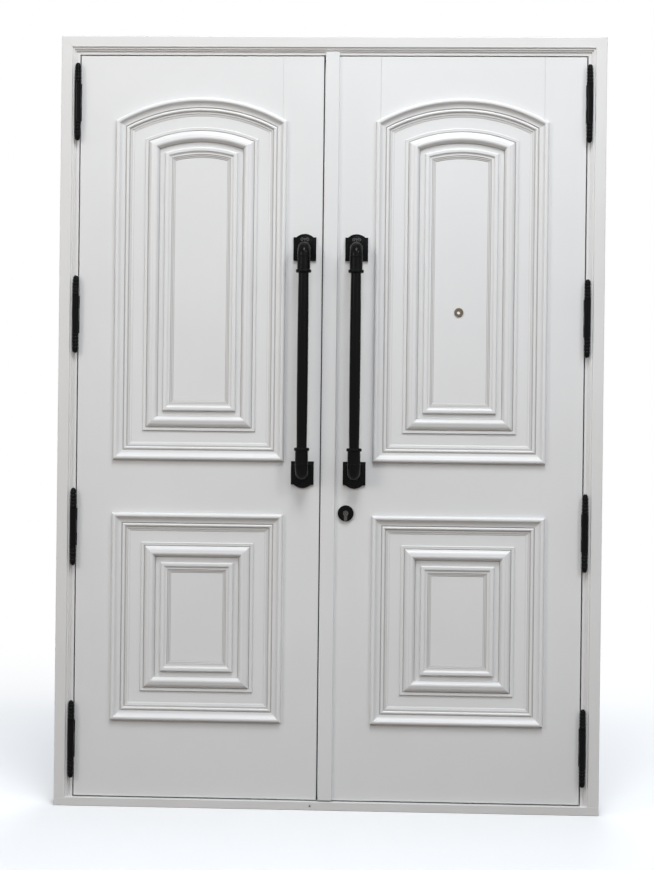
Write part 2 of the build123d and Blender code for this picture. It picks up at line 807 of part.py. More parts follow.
def key_plug():
    """Key plug with its keyway."""
    plug = rod((lock_x, cylinder_front, lock_height), (lock_x, cylinder_front + plug_length, lock_height),
               plug_radius)
    return plug - block(lock_x - keyway_width / 2, lock_x + keyway_width / 2, cylinder_front - cut_overrun,
                        cylinder_front + keyway_depth, lock_height - keyway_height / 2,
                        lock_height + keyway_height / 2)


def thumb_turn():
    """Thumb turn on the inside: a shaft in the cylinder and a flat oval grip."""
    shaft = rod((lock_x, cylinder_back - plug_length, lock_height),
                (lock_x, cylinder_back + thumb_reach / 3, lock_height), plug_radius)
    grip_start = cylinder_back + thumb_reach / 3
    grip = slab(Pos(lock_x, lock_height) * SlotOverall(thumb_width, thumb_thickness * 2, 90),
                grip_start, cylinder_back + thumb_reach)
    return shaft + fillet(grip.faces().sort_by(Axis.Y)[-1].edges(), thumb_round)


# Flush bolts and strike of the left leaf


def rod_axis():
    """Place of the flush bolts' rods: in the left leaf's edge, behind the cover plates."""
    depth = cover_thickness + (channel_depth - cover_thickness) / 2
    return left_edge - depth, leaf_middle


def end_span(near, far, top):
    """Z span between two distances from the leaf's top end, or from its bottom end."""
    return (leaf_top - far, leaf_top - near) if top else (leaf_bottom + near, leaf_bottom + far)


def slide_span(top):
    """Z span of a flush bolt's slide, in the middle of its cover plate."""
    middle = cover_end + cover_length / 2
    return end_span(middle - slide_height / 2, middle + slide_height / 2, top)


def flush_bolt(top):
    """Flush bolt drawn back into the leaf: a round rod and the slide that moves it."""
    x, y = rod_axis()
    low, high = end_span(rod_setback, rod_setback + rod_length, top)
    slide_low, slide_high = slide_span(top)
    return rod((x, y, low), (x, y, high), rod_radius) + block(
        x, left_edge - slide_recess, y - slide_width / 2, y + slide_width / 2, slide_low, slide_high)


def flush_channel(top):
    """Room in the leaf's edge for a flush bolt and its cover plate."""
    low, high = end_span(-cut_overrun, rod_setback + rod_length + rod_clearance, top)
    plate_low, plate_high = end_span(cover_end, cover_end + cover_length, top)
    deep = block(left_edge - channel_depth, left_edge + cut_overrun, leaf_middle - channel_width / 2,
                 leaf_middle + channel_width / 2, low, high)
    return deep + block(left_edge - cover_thickness, left_edge + cut_overrun, leaf_middle - cover_width / 2,
                        leaf_middle + cover_width / 2, plate_low, plate_high)


def flush_cover(top):
    """Cover plate of a flush bolt, slotted for the travel of its slide."""
    low, high = end_span(cover_end, cover_end + cover_length, top)
    plate = block(left_edge - cover_thickness, left_edge, leaf_middle - cover_width / 2,
                  leaf_middle + cover_width / 2, low, high)
    slot_low, slot_high = slide_span(top)
    travel_up = rod_throw if top else 0
    half = slide_width / 2 + slide_slot_clearance
    return plate - block(left_edge - cover_thickness - cut_overrun, left_edge + cut_overrun,
                         leaf_middle - half, leaf_middle + half,
                         slot_low - (rod_throw - travel_up) - slide_slot_clearance,
                         slot_high + travel_up + slide_slot_clearance)


def strike_block(depth):
    """Strike plate's outline in the left leaf's edge, to a depth."""
    return block(left_edge - depth, left_edge, leaf_middle - strike_width / 2, leaf_middle + strike_width / 2,
                 deadbolt_z - strike_height / 2, deadbolt_z + strike_height / 2)


def strike_pocket():
    """Way for the deadbolt into the left leaf's edge."""
    return deadbolt_block(strike_clearance, left_edge - pocket_depth, left_edge + cut_overrun)


def left_meeting_stile():
    """Meeting stile of the left leaf, cut for the strike and the flush bolts."""
    shape = softened(meeting_stile("left"), left_edge)
    return shape - strike_block(strike_thickness) - strike_pocket() - flush_channel(True) - flush_channel(False)


# Door viewer in the right leaf's upper panel

viewer_x = leaf_middles["right"] + viewer_offset


def ring_between(y0, y1, outer, inner):
    """Plain tube along Y at the viewer's axis."""
    at = Pos(viewer_x, viewer_height)
    return slab(at * Circle(outer) - at * Circle(inner), y0, y1)


def viewer_barrel():
    """Outer tube with a round flange on the face of the panel."""
    bore = viewer_tube_radius - viewer_tube_wall
    flange = ring_between(panel_y - viewer_flange_thickness, panel_y, viewer_flange_radius, bore)
    rim = flange.edges().filter_by(GeomType.CIRCLE).group_by(Axis.Y)[0].sort_by(lambda edge: edge.radius)[-1:]
    return fillet(rim, viewer_flange_thickness / 2) + ring_between(
        panel_y, panel_back - viewer_flange_thickness, viewer_tube_radius, bore)


def viewer_sleeve():
    """Inner tube with a flange on the back of the panel, screwed into the barrel."""
    outer = viewer_tube_radius - viewer_tube_wall - viewer_clearance
    bore = outer - viewer_tube_wall
    reach = panel_thickness * viewer_sleeve_share
    return (ring_between(panel_back - reach, panel_back, outer, bore)
            + ring_between(panel_back, panel_back + viewer_flange_thickness, viewer_flange_radius, bore))


def viewer_lens():
    """Lens near the front of the barrel."""
    at = Pos(viewer_x, viewer_height)
    front = panel_y - viewer_flange_thickness + viewer_lens_seat
    radius = viewer_tube_radius - viewer_tube_wall - viewer_clearance
    return slab(at * Circle(radius), front, front + viewer_lens_thickness)


def bored_upper_panel():
    """Upper panel of the right leaf, bored for the viewer."""
    hole = slab(Pos(viewer_x, viewer_height) * Circle(viewer_tube_radius + viewer_clearance),
                panel_y - cut_overrun, panel_back + cut_overrun)
    return panel(upper_outline, leaf_middles["right"]) - hole


os.makedirs("parts", exist_ok=True)

right_jamb = jamb()
export("right_jamb", right_jamb)
export("left_jamb", mirror(right_jamb, about=Plane.YZ))
export("frame_head", frame_head())
export("sill", sill())
export("frame_seal", *frame_seals())

for side, sign in sides.items():
    middle = leaf_middles[side]
    export(side + "_hinge_stile", hinge_stile(side))
    export(side + "_top_rail", top_rail(side))
    export(side + "_lock_rail", lock_rail(middle))
    export(side + "_bottom_rail", bottom_rail(middle))
    export(side + "_lower_panel", panel(lower_outline, middle))
    for name, section, width, inset in moulding_plan():
        export(side + "_upper_" + name + "_moulding",
               *moulding_ring(section, width, inset, middle, upper_panel_bottom, arch_crown, True))
        export(side + "_lower_" + name + "_moulding",
               *moulding_ring(section, width, inset, middle, lower_panel_bottom, lower_panel_top, False))
    export(side + "_hinge_frame_flaps", *frame_flaps(sign))
    export(side + "_hinge_leaf_flaps", *leaf_flaps(sign))
    export(side + "_hinge_pins", *hinge_pins(sign))
    handle_x = sign * handle_offset
    export(side + "_handle_bar", handle_bar(handle_x))
    export(side + "_handle_upper_bracket", upper_bracket(handle_x))
    export(side + "_handle_lower_bracket", lower_bracket(handle_x))
    export(side + "_handle_bolts", *handle_bolts(handle_x))

export("left_upper_panel", panel(upper_outline, leaf_middles["left"]))
export("left_meeting_stile", left_meeting_stile())
export("top_flush_bolt", flush_bolt(True))
export("bottom_flush_bolt", flush_bolt(False))
export("flush_bolt_covers", flush_cover(True), flush_cover(False))
export("strike_plate", strike_block(strike_thickness) - strike_pocket())

export("right_upper_panel", bored_upper_panel())
export("right_meeting_stile", right_meeting_stile())
export("meeting_strip", meeting_strip())
export("lock_case", lock_case())
export("deadbolt", deadbolt())
export("lock_cylinder", lock_cylinder())
export("key_plug", key_plug())
export("thumb_turn", thumb_turn())
export("outer_escutcheon", escutcheon(leaf_front, leaf_front - escutcheon_thickness))
export("inner_escutcheon", escutcheon(leaf_back, leaf_back + escutcheon_thickness))
export("viewer_barrel", viewer_barrel())
export("viewer_sleeve", viewer_sleeve())
export("viewer_lens", viewer_lens())
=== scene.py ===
# %% [markdown]
# # A painted double entrance door
# Two panelled timber leaves hang in a moulded frame on tall turned hinges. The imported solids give
# every place and size. This file dresses them: edges get the small rounding that paint leaves,
# the mouldings and the turned ironwork are worked out again as smooth surfaces, and each finish
# is built from nodes. Units are metres, Z is up, and the outside of the door faces -Y.

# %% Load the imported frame
import json
import math

import bmesh
import bpy
import numpy as np
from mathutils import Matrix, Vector

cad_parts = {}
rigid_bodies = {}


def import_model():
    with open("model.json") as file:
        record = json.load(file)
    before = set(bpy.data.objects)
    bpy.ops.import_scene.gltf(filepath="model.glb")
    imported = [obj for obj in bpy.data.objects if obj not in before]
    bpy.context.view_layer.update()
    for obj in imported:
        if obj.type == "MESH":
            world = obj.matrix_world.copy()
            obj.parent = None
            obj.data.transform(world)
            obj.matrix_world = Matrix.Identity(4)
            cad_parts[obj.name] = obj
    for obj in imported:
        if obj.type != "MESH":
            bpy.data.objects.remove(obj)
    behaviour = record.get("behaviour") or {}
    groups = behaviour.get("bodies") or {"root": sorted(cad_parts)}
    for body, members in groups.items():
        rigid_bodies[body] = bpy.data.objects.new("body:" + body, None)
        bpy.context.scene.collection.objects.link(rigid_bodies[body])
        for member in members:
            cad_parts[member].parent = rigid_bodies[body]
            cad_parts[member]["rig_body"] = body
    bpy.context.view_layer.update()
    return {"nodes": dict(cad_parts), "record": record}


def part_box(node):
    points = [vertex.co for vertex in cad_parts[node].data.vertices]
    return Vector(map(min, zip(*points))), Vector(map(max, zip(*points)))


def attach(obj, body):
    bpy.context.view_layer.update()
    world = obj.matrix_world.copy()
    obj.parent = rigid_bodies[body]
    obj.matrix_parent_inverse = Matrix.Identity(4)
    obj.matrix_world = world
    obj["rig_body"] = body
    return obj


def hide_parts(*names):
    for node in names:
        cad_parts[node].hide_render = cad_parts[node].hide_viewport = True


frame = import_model()
nodes = frame["nodes"]

# %% [markdown]
# ## Meshes from arrays
# Every new surface is a grid of points: one direction runs along a length or round an axis, the
# other follows a section. A closed section swept between two end faces gives a closed body, so
# one function can turn all such grids into meshes. Curves with a bevel would do for some of them,
# but a grid lets the section change along the way. Faces are indexed with whole arrays.

# %% Grid helpers


def tube_faces(stations, around, offset=0):
    """Faces of a tube of closed loops: station i joins station i + 1, and the loop's last point its
    first. The two end loops are closed by one face each."""
    row = np.arange(stations - 1)[:, None] * around
    here = np.arange(around)[None, :]
    after = (here + 1) % around
    quads = np.stack([row + here, row + after, row + around + after, row + around + here], -1)
    ends = [list(range(around))[::-1], list(range((stations - 1) * around, stations * around))]
    faces = (quads.reshape(-1, 4) + offset).tolist()
    return faces + [[index + offset for index in end] for end in ends]


def add_piece(name, grids, body, slot, replaced=(), crease=30.0, hollow_shade=None, scroll_highlight=None):
    """Makes one piece of several tubes. A grid holds stations, points round the section, and x, y, z.
    Edges sharper than crease degrees stay sharp. hollow_shade holds the painted shade for each point of the
    section, and scroll_highlight the painted highlight for each grid."""
    points, faces = [], []
    for grid in grids:
        faces += tube_faces(grid.shape[0], grid.shape[1], sum(len(group) for group in points))
        points.append(grid.reshape(-1, 3))
    mesh = bpy.data.meshes.new(name)
    mesh.from_pydata(np.concatenate(points).tolist(), [], faces)
    # Painted shade: each point of a moulding's section carries how dark its hollow is painted.
    if hollow_shade is not None:
        store(mesh, "hollow_shade", "POINT", np.concatenate([np.tile(hollow_shade, grid.shape[0]) for grid in grids]))
    # Painted highlight: one value for each grid, kept on its points.
    if scroll_highlight is not None:
        store(mesh, "scroll_highlight", "POINT", np.repeat(scroll_highlight, [len(group) for group in points]))
    return finish_piece(name, mesh, body, slot, replaced, crease)


def store(mesh, title, domain, values):
    """Attribute of a mesh: one number for each of its points or edges."""
    mesh.attributes.new(title, "FLOAT", domain).data.foreach_set("value", values)


def finish_piece(name, mesh, body, slot, replaced, crease):
    """Turns the faces outwards, shades them smooth up to the crease, and ties the piece to its body."""
    turn_outwards(mesh)
    mesh.shade_smooth()
    mesh.set_sharp_from_angle(angle=math.radians(crease))
    piece = bpy.data.objects.new(name, mesh)
    bpy.context.scene.collection.objects.link(piece)
    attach(piece, body)
    if replaced:
        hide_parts(*replaced)
    mesh.materials.append(finishes[slot])
    return piece


def turn_outwards(mesh):
    """Recalculates normals so that each closed shell faces outwards."""
    shell = bmesh.new()
    shell.from_mesh(mesh)
    bmesh.ops.recalc_face_normals(shell, faces=shell.faces)
    shell.to_mesh(mesh)
    shell.free()


print("faces of a tube of 3 loops of 4 points:", len(tube_faces(3, 4)))

# %% [markdown]
# ## Finishes
# A material is a tree of nodes. Noise on Object coordinates stays fixed to a piece when it moves,
# so every pattern here starts from it. An effect that several materials share is a node group: it
# takes colours and a gloss, and gives out a colour, a roughness and a height for the bump.

# %% Node helpers
surface_outputs = [("Colour", "NodeSocketColor"), ("Roughness", "NodeSocketFloat"), ("Height", "NodeSocketFloat")]


def new_group(name, inputs):
    """Empty surface group with named inputs. Returns the group with its input and output nodes."""
    group = bpy.data.node_groups.new(name, "ShaderNodeTree")
    for title, kind, value in inputs:
        socket = group.interface.new_socket(title, in_out="INPUT", socket_type=kind)
        socket.default_value = value
    for title, kind in surface_outputs:
        group.interface.new_socket(title, in_out="OUTPUT", socket_type=kind)
    return group, group.nodes.new("NodeGroupInput"), group.nodes.new("NodeGroupOutput")


def put_out(group, result, colour, roughness, height):
    """Links the results of a surface group to its output node."""
    for (title, _), socket in zip(surface_outputs, (colour, roughness, height)):
        group.links.new(socket, result.inputs[title])


def add_node(tree, kind, **values):
    """Node with some of its properties set."""
    node = tree.nodes.new(kind)
    for key, value in values.items():
        setattr(node, key, value)
    return node


def feed(tree, sockets, values):
    """Fills each socket with a link from another socket or with a plain value."""
    for socket, value in zip(sockets, values):
        if isinstance(value, bpy.types.NodeSocket):
            tree.links.new(value, socket)
        else:
            socket.default_value = value


def stretched_noise(tree, scale, detail):
    """Noise on Object coordinates, stretched by the three numbers of scale."""
    place = add_node(tree, "ShaderNodeTexCoord")
    stretch = add_node(tree, "ShaderNodeMapping")
    stretch.inputs["Scale"].default_value = scale
    noise = add_node(tree, "ShaderNodeTexNoise")
    noise.inputs["Scale"].default_value = 1.0
    noise.inputs["Detail"].default_value = detail
    tree.links.new(place.outputs["Object"], stretch.inputs["Vector"])
    tree.links.new(stretch.outputs["Vector"], noise.inputs["Vector"])
    return noise.outputs["Fac"]


def math_node(tree, operation, *operands):
    """Math node; each operand is a socket or a number."""
    node = add_node(tree, "ShaderNodeMath", operation=operation)
    feed(tree, node.inputs, operands)
    return node.outputs[0]


def mix_colour(tree, factor, first, second):
    """Mix of two colours. A Mix node keeps its colours in sockets 6 and 7, and its result in 2."""
    node = add_node(tree, "ShaderNodeMix", data_type="RGBA")
    feed(tree, (node.inputs[0], node.inputs[6], node.inputs[7]), (factor, first, second))
    return node.outputs[2]


def band_mask(tree, value, band, **values):
    """0 below a band of values, 1 above it, and a ramp in between."""
    ramp = add_node(tree, "ShaderNodeMapRange", **values)
    ramp.inputs["From Min"].default_value, ramp.inputs["From Max"].default_value = band
    tree.links.new(value, ramp.inputs["Value"])
    return ramp.outputs[0]


print("outputs of a surface group:", [title for title, _ in surface_outputs])

# %% [markdown]
# ## Paint
# The timber carries several coats of satin white paint, laid off with a brush along the grain:
# upright on the stiles and panels, level on the rails. An image could carry the strokes, but noise
# needs no unwrapping and stays fine at any distance. The strokes are shallow, so they show only in
# the gloss. One group makes strokes, a fine skin and a slow drift of colour. Shade in the hollows is
# painted: an attribute of the mouldings' points marks the hollows, and the group turns the paint dark
# brown there.

# %% Brushed paint group
stroke_fine, stroke_long, stroke_detail = 260.0, 5.0, 3.0
skin_scale, skin_detail, skin_share = 900.0, 1.0, 0.25
drift_scale, drift_detail, drift_gloss, drift_band = 2.2, 4.0, 0.10, (0.35, 0.70)
# Painted shade for the hollows of the mouldings: a dark brown, and the share of it at full.
shade_cover, hollow_shade_colour = 0.75, (0.17, 0.14, 0.115, 1)


def brushed_paint_group():
    """Paint laid off by brush. Level is 0 for upright strokes and 1 for level ones."""
    group, given, result = new_group(
        "brushed_paint",
        [("Colour", "NodeSocketColor", (0.8, 0.8, 0.8, 1)), ("Drift Colour", "NodeSocketColor", (0.7, 0.7, 0.7, 1)),
         ("Level", "NodeSocketFloat", 0.0), ("Gloss", "NodeSocketFloat", 0.35), ("Dust And Shade", "NodeSocketFloat", 0.0)])
    upright = stretched_noise(group, (stroke_fine, stroke_fine, stroke_long), stroke_detail)
    level = stretched_noise(group, (stroke_long, stroke_fine, stroke_fine), stroke_detail)
    skin = stretched_noise(group, (skin_scale,) * 3, skin_detail)
    drift = stretched_noise(group, (drift_scale,) * 3, drift_detail)
    strokes = add_node(group, "ShaderNodeMix", data_type="FLOAT")
    feed(group, (strokes.inputs[0], strokes.inputs[2], strokes.inputs[3]), (given.outputs["Level"], upright, level))
    height = math_node(group, "ADD", strokes.outputs[0], math_node(group, "MULTIPLY", skin, skin_share))
    rough = math_node(group, "ADD", given.outputs["Gloss"], math_node(group, "MULTIPLY", drift, drift_gloss))
    patch = band_mask(group, drift, drift_band)
    colour = mix_colour(group, patch, given.outputs["Colour"], given.outputs["Drift Colour"])
    # Painted shade: the hollows marked on the mouldings' points turn the paint dark brown.
    dust_and_shade_share = math_node(group, "MULTIPLY", given.outputs["Dust And Shade"], shade_cover)
    put_out(group, result, mix_colour(group, dust_and_shade_share, colour, hollow_shade_colour), rough, height)
    return group


paint_group = brushed_paint_group()
print("group:", paint_group.name)

# %% [markdown]
# The paint of the leaves is a little whiter and glossier than the frame's, and each has boards that
# run upright and boards that run level. That makes four paints. They could be four trees of nodes,
# but each is only the same group placed with its own values.

# %% Paint materials
stroke_depth, paint_specular = 0.00006, 0.5
upright_strokes, level_strokes = 0.0, 1.0
door_white, door_drift, door_gloss = (0.72, 0.72, 0.715, 1), (0.69, 0.688, 0.682, 1), 0.30
frame_white, frame_drift, frame_gloss = (0.70, 0.695, 0.685, 1), (0.66, 0.65, 0.635, 1), 0.36


def new_material(name):
    """Material with a Principled shader, and that shader."""
    material = bpy.data.materials.new(name)
    material.use_nodes = True
    shader = next(node for node in material.node_tree.nodes if node.type == "BSDF_PRINCIPLED")
    return material, shader


def place_group(material, shader, group, values, depth):
    """Puts a group into a material and feeds its colour, roughness and height to the shader."""
    tree = material.node_tree
    effect = add_node(tree, "ShaderNodeGroup", node_tree=group)
    for title, value in values.items():
        effect.inputs[title].default_value = value
    bump = add_node(tree, "ShaderNodeBump")
    bump.inputs["Strength"].default_value = 1.0
    bump.inputs["Distance"].default_value = depth
    tree.links.new(effect.outputs["Colour"], shader.inputs["Base Color"])
    tree.links.new(effect.outputs["Roughness"], shader.inputs["Roughness"])
    tree.links.new(effect.outputs["Height"], bump.inputs["Height"])
    tree.links.new(bump.outputs["Normal"], shader.inputs["Normal"])
    return effect


def read_attribute(material, title, socket):
    """Feeds a socket with an attribute of the mesh. A mesh without it gives 0."""
    attribute = add_node(material.node_tree, "ShaderNodeAttribute", attribute_name=title)
    material.node_tree.links.new(attribute.outputs["Fac"], socket)


def paint(name, colour, drift, level, gloss):
    """Satin paint on timber, with strokes upright or level."""
    material, shader = new_material(name)
    shader.inputs["Specular IOR Level"].default_value = paint_specular
    effect = place_group(material, shader, paint_group,
                         {"Colour": colour, "Drift Colour": drift, "Level": level, "Gloss": gloss}, stroke_depth)
    # Painted shade in the mouldings' hollows, read from their points.
    read_attribute(material, "hollow_shade", effect.inputs["Dust And Shade"])
    return material


finishes = {
    "door_paint": paint("door_paint_upright", door_white, door_drift, upright_strokes, door_gloss),
    "frame_paint": paint("frame_paint_upright", frame_white, frame_drift, upright_strokes, frame_gloss),
}
level_paint = paint("door_paint_level", door_white, door_drift, level_strokes, door_gloss)
level_frame_paint = paint("frame_paint_level", frame_white, frame_drift, level_strokes, frame_gloss)
print("paints:", sorted(finishes), level_paint.name, level_frame_paint.name)

# %% [markdown]
# ## Ironwork, lock metal, rubber and glass
# The hinges and handles are cast and turned iron under black lacquer, with a faint skin. The
# cylinder and the lock parts are satin metal, drawn with fine lines. Both effects are groups, since
# several finishes share them.

# %% Lacquer and drawn metal groups
lacquer_skin, lacquer_skin_detail = 420.0, 2.0
lacquer_cloud, cloud_detail, cloud_gloss, cloud_band = 14.0, 5.0, 0.12, (0.62, 0.85)
# Painted highlight: the paler colour that the scroll's wire is painted with.
painted_highlight_colour = (0.11, 0.108, 0.105, 1)
drawn_fine, drawn_long, drawn_detail, drawn_gloss = 2600.0, 60.0, 2.0, 0.15
tarnish_scale, tarnish_detail = 42.0, 3.0


def cast_lacquer_group():
    """Black lacquer over a casting: a fine skin in the height, cloudy gloss and dust, and a paler painted highlight.
    """
    group, given, result = new_group(
        "cast_lacquer",
        [("Colour", "NodeSocketColor", (0.01, 0.01, 0.01, 1)), ("Dust And Shade", "NodeSocketColor", (0.05, 0.05, 0.05, 1)),
         ("Gloss", "NodeSocketFloat", 0.2), ("Painted Highlight", "NodeSocketFloat", 0.0)])
    skin = stretched_noise(group, (lacquer_skin,) * 3, lacquer_skin_detail)
    cloud = stretched_noise(group, (lacquer_cloud,) * 3, cloud_detail)
    dust_and_shade_share = band_mask(group, cloud, cloud_band)
    colour = mix_colour(group, dust_and_shade_share, given.outputs["Colour"], given.outputs["Dust And Shade"])
    rough = math_node(group, "ADD", given.outputs["Gloss"], math_node(group, "MULTIPLY", cloud, cloud_gloss))
    put_out(group, result, mix_colour(group, given.outputs["Painted Highlight"], colour, painted_highlight_colour), rough, skin)
    return group


def drawn_metal_group():
    """Satin metal with fine lines drawn across it."""
    group, given, result = new_group(
        "drawn_metal",
        [("Colour", "NodeSocketColor", (0.5, 0.5, 0.5, 1)), ("Dull Colour", "NodeSocketColor", (0.4, 0.4, 0.4, 1)),
         ("Gloss", "NodeSocketFloat", 0.3)])
    lines = stretched_noise(group, (drawn_long, drawn_fine, drawn_fine), drawn_detail)
    cloud = stretched_noise(group, (tarnish_scale,) * 3, tarnish_detail)
    colour = mix_colour(group, cloud, given.outputs["Colour"], given.outputs["Dull Colour"])
    rough = math_node(group, "ADD", given.outputs["Gloss"], math_node(group, "MULTIPLY", lines, drawn_gloss))
    put_out(group, result, colour, rough, lines)
    return group


lacquer_group, metal_group = cast_lacquer_group(), drawn_metal_group()
print("groups:", lacquer_group.name, metal_group.name)

# %% [markdown]
# Lacquered iron isn't metallic to the eye, because the light meets the lacquer first, while bare lock
# metal is. The iron would mirror the white room and turn grey, so its specular level is very low.
# The seal is matt rubber, made by the lacquer group with a rougher gloss, and the viewer's lens is
# glass with faint smears.

# %% Hardware materials
iron_specular, iron_depth = 0.08, 0.00004
rubber_specular, rubber_depth = 0.3, 0.00008
line_depth = 0.000008
glass_index, smear_scale, smear_detail, smear_rough = 1.5, 350.0, 3.0, 0.08


def lacquered_iron():
    """Gloss black lacquer on iron."""
    material, shader = new_material("black_iron")
    shader.inputs["Specular IOR Level"].default_value = iron_specular
    effect = place_group(
        material, shader, lacquer_group,
        {"Colour": (0.0016, 0.0016, 0.0018, 1), "Dust And Shade": (0.005, 0.0048, 0.0046, 1), "Gloss": 0.17}, iron_depth)
    # The scroll's painted highlight, read from its points.
    read_attribute(material, "scroll_highlight", effect.inputs["Painted Highlight"])
    return material


def satin_metal(name, colour, dull, gloss):
    """Bare metal with drawn lines."""
    material, shader = new_material(name)
    shader.inputs["Metallic"].default_value = 1.0
    place_group(material, shader, metal_group, {"Colour": colour, "Dull Colour": dull, "Gloss": gloss}, line_depth)
    return material


def seal_rubber():
    """Matt black rubber with a fine skin."""
    material, shader = new_material("seal_rubber")
    shader.inputs["Specular IOR Level"].default_value = rubber_specular
    place_group(material, shader, lacquer_group,
                {"Colour": (0.02, 0.02, 0.02, 1), "Dust And Shade": (0.05, 0.048, 0.045, 1), "Gloss": 0.6}, rubber_depth)
    return material


def viewer_glass():
    """Clear lens glass."""
    material, shader = new_material("viewer_glass")
    shader.inputs["Base Color"].default_value = (0.75, 0.80, 0.82, 1)
    shader.inputs["Transmission Weight"].default_value = 1.0
    shader.inputs["IOR"].default_value = glass_index
    smear = stretched_noise(material.node_tree, (smear_scale,) * 3, smear_detail)
    rough = math_node(material.node_tree, "MULTIPLY", smear, smear_rough)
    material.node_tree.links.new(rough, shader.inputs["Roughness"])
    return material


finishes["black_iron"] = lacquered_iron()
finishes["cylinder_nickel"] = satin_metal("cylinder_nickel", (0.105, 0.098, 0.09, 1), (0.05, 0.046, 0.042, 1), 0.24)
finishes["lock_steel"] = satin_metal("lock_steel", (0.58, 0.58, 0.57, 1), (0.48, 0.48, 0.47, 1), 0.32)
finishes["viewer_bronze"] = satin_metal("viewer_bronze", (0.16, 0.125, 0.09, 1), (0.10, 0.08, 0.06, 1), 0.34)
finishes["seal_rubber"] = seal_rubber()
finishes["viewer_glass"] = viewer_glass()
print("finishes:", sorted(finishes))

# %% [markdown]
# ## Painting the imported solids
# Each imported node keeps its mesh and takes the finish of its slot. Rails, the head and the sill
# are brushed along their length, so they take the level paint.

# %% Give every node its finish
slots = {part["node"]: part["material_slot"] for part in frame["record"]["subparts"]}
level_nodes = {"frame_head": level_frame_paint, "sill": level_frame_paint}
level_nodes.update({name: level_paint for name in nodes if name.endswith("_rail")})


def node_finish(name):
    """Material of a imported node."""
    return level_nodes.get(name, finishes[slots[name]])


for name, item in nodes.items():
    item.data.materials.clear()
    item.data.materials.append(node_finish(name))
print("painted nodes:", len(nodes), "of them level:", len(level_nodes))

# %% [markdown]
# ## Timber with softened edges
# A sharp mathematical edge never catches the light. Real joinery is sanded before it is painted,
# so each board has a fine rounding. Paint fills the joints between stiles and rails, so edges that
# lie in a joint are left out. The Bevel modifier can choose edges by their angle, but then it would
# round the joints too, so here each edge has a weight instead.

# %% Weigh the edges of a board
merge_distance, flat_angle, sharp_angle = 0.00001, 1.0, 40.0
tenon_length, joint_reach = 0.012, 0.0002
lock_rails = [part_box(side + "_lock_rail") for side in ("left", "right")]
joints_x = np.array([edge for low, high in lock_rails for edge in (low.x + tenon_length, high.x - tenon_length)])


def whole_faces(mesh):
    """Merges doubled points and joins triangles that lie in one plane."""
    board = bmesh.new()
    board.from_mesh(mesh)
    bmesh.ops.remove_doubles(board, verts=board.verts, dist=merge_distance)
    bmesh.ops.dissolve_limit(board, angle_limit=math.radians(flat_angle), verts=board.verts, edges=board.edges)
    board.to_mesh(mesh)
    board.free()


def fetch(items, key, width, kind):
    """One property of a mesh's points, edges, corners or faces as a whole array."""
    values = np.empty(len(items) * width, kind)
    items.foreach_get(key, values)
    return values.reshape(-1, width)


def sharp_edges(mesh):
    """True for each edge that joins two faces whose normals stand more than sharp_angle apart. The faces'
    corners are sorted by edge, so that the two faces of an edge come one after the other."""
    edge_of = fetch(mesh.loops, "edge_index", 1, np.int32)[:, 0]
    corners = fetch(mesh.polygons, "loop_total", 1, np.int32)[:, 0]
    normal = fetch(mesh.polygons, "normal", 3, np.float32)
    face_of = np.repeat(np.arange(len(corners)), corners)[np.argsort(edge_of, kind="stable")]
    count = np.bincount(edge_of, minlength=len(mesh.edges))
    first = (np.cumsum(count) - count)[count == 2]
    sharp = np.zeros(len(mesh.edges), bool)
    alike = (normal[face_of[first]] * normal[face_of[first + 1]]).sum(1)
    sharp[count == 2] = alike < math.cos(math.radians(sharp_angle))
    return sharp


def weigh_edges(mesh):
    """Gives each sharp edge a bevel weight of 1, but 0 where it runs upright in a stile and rail joint."""
    x = fetch(mesh.vertices, "co", 3, np.float32)[:, 0]
    ends = x[fetch(mesh.edges, "vertices", 2, np.int32)]
    in_joint = (np.abs(ends[:, :, None] - joints_x) < joint_reach).all(1).any(1)
    store(mesh, "bevel_weight_edge", "EDGE", (sharp_edges(mesh) & ~in_joint).astype(np.float32))


print("joints at x:", joints_x.round(4).tolist())

# %% [markdown]
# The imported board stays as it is, and a copy of it is softened and stands for it. The copy's flat
# triangles are joined into whole faces first, because a bevel runs cleanly only between whole faces.
# The Weighted Normal modifier then keeps the broad faces flat, so that only the rounding shades.

# %% Soften the boards
edge_softness, edge_segments, smooth_angle, flat_weight = 0.0011, 2, 35.0, 100
leaf_boards = ("hinge_stile", "meeting_stile", "top_rail", "lock_rail", "bottom_rail")
board_names = ["left_jamb", "right_jamb", "frame_head", "sill", "meeting_strip"]
board_names += [side + "_" + board for side in ("left", "right") for board in leaf_boards]


def soften(name):
    """Copy of a packed board with rounded edges."""
    mesh = nodes[name].data.copy()
    mesh.name = name + "_softened"
    whole_faces(mesh)
    weigh_edges(mesh)
    mesh.materials.clear()
    body = nodes[name]["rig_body"]
    piece = bpy.data.objects.new(name + "_softened", mesh)
    bpy.context.scene.collection.objects.link(piece)
    rounding = piece.modifiers.new("rounding", "BEVEL")
    rounding.width, rounding.segments = edge_softness, edge_segments
    rounding.limit_method = "WEIGHT"
    flat = piece.modifiers.new("flat_faces", "WEIGHTED_NORMAL")
    flat.weight, flat.keep_sharp = flat_weight, True
    mesh.shade_smooth()
    mesh.set_sharp_from_angle(angle=math.radians(smooth_angle))
    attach(piece, body)
    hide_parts(name)
    mesh.materials.append(node_finish(name))
    return piece


boards = [soften(name) for name in board_names]
print("softened boards:", len(boards))

# %% [markdown]
# ## Mouldings
# Three mouldings are nested round each panel: a bold outer one over the joint, a middle one that
# steps up towards the field, and a small inner one. Each is one section, drawn here as shares of
# its width and height. Two numbers are the end of a line, and four are the middle and the end of
# an arc.

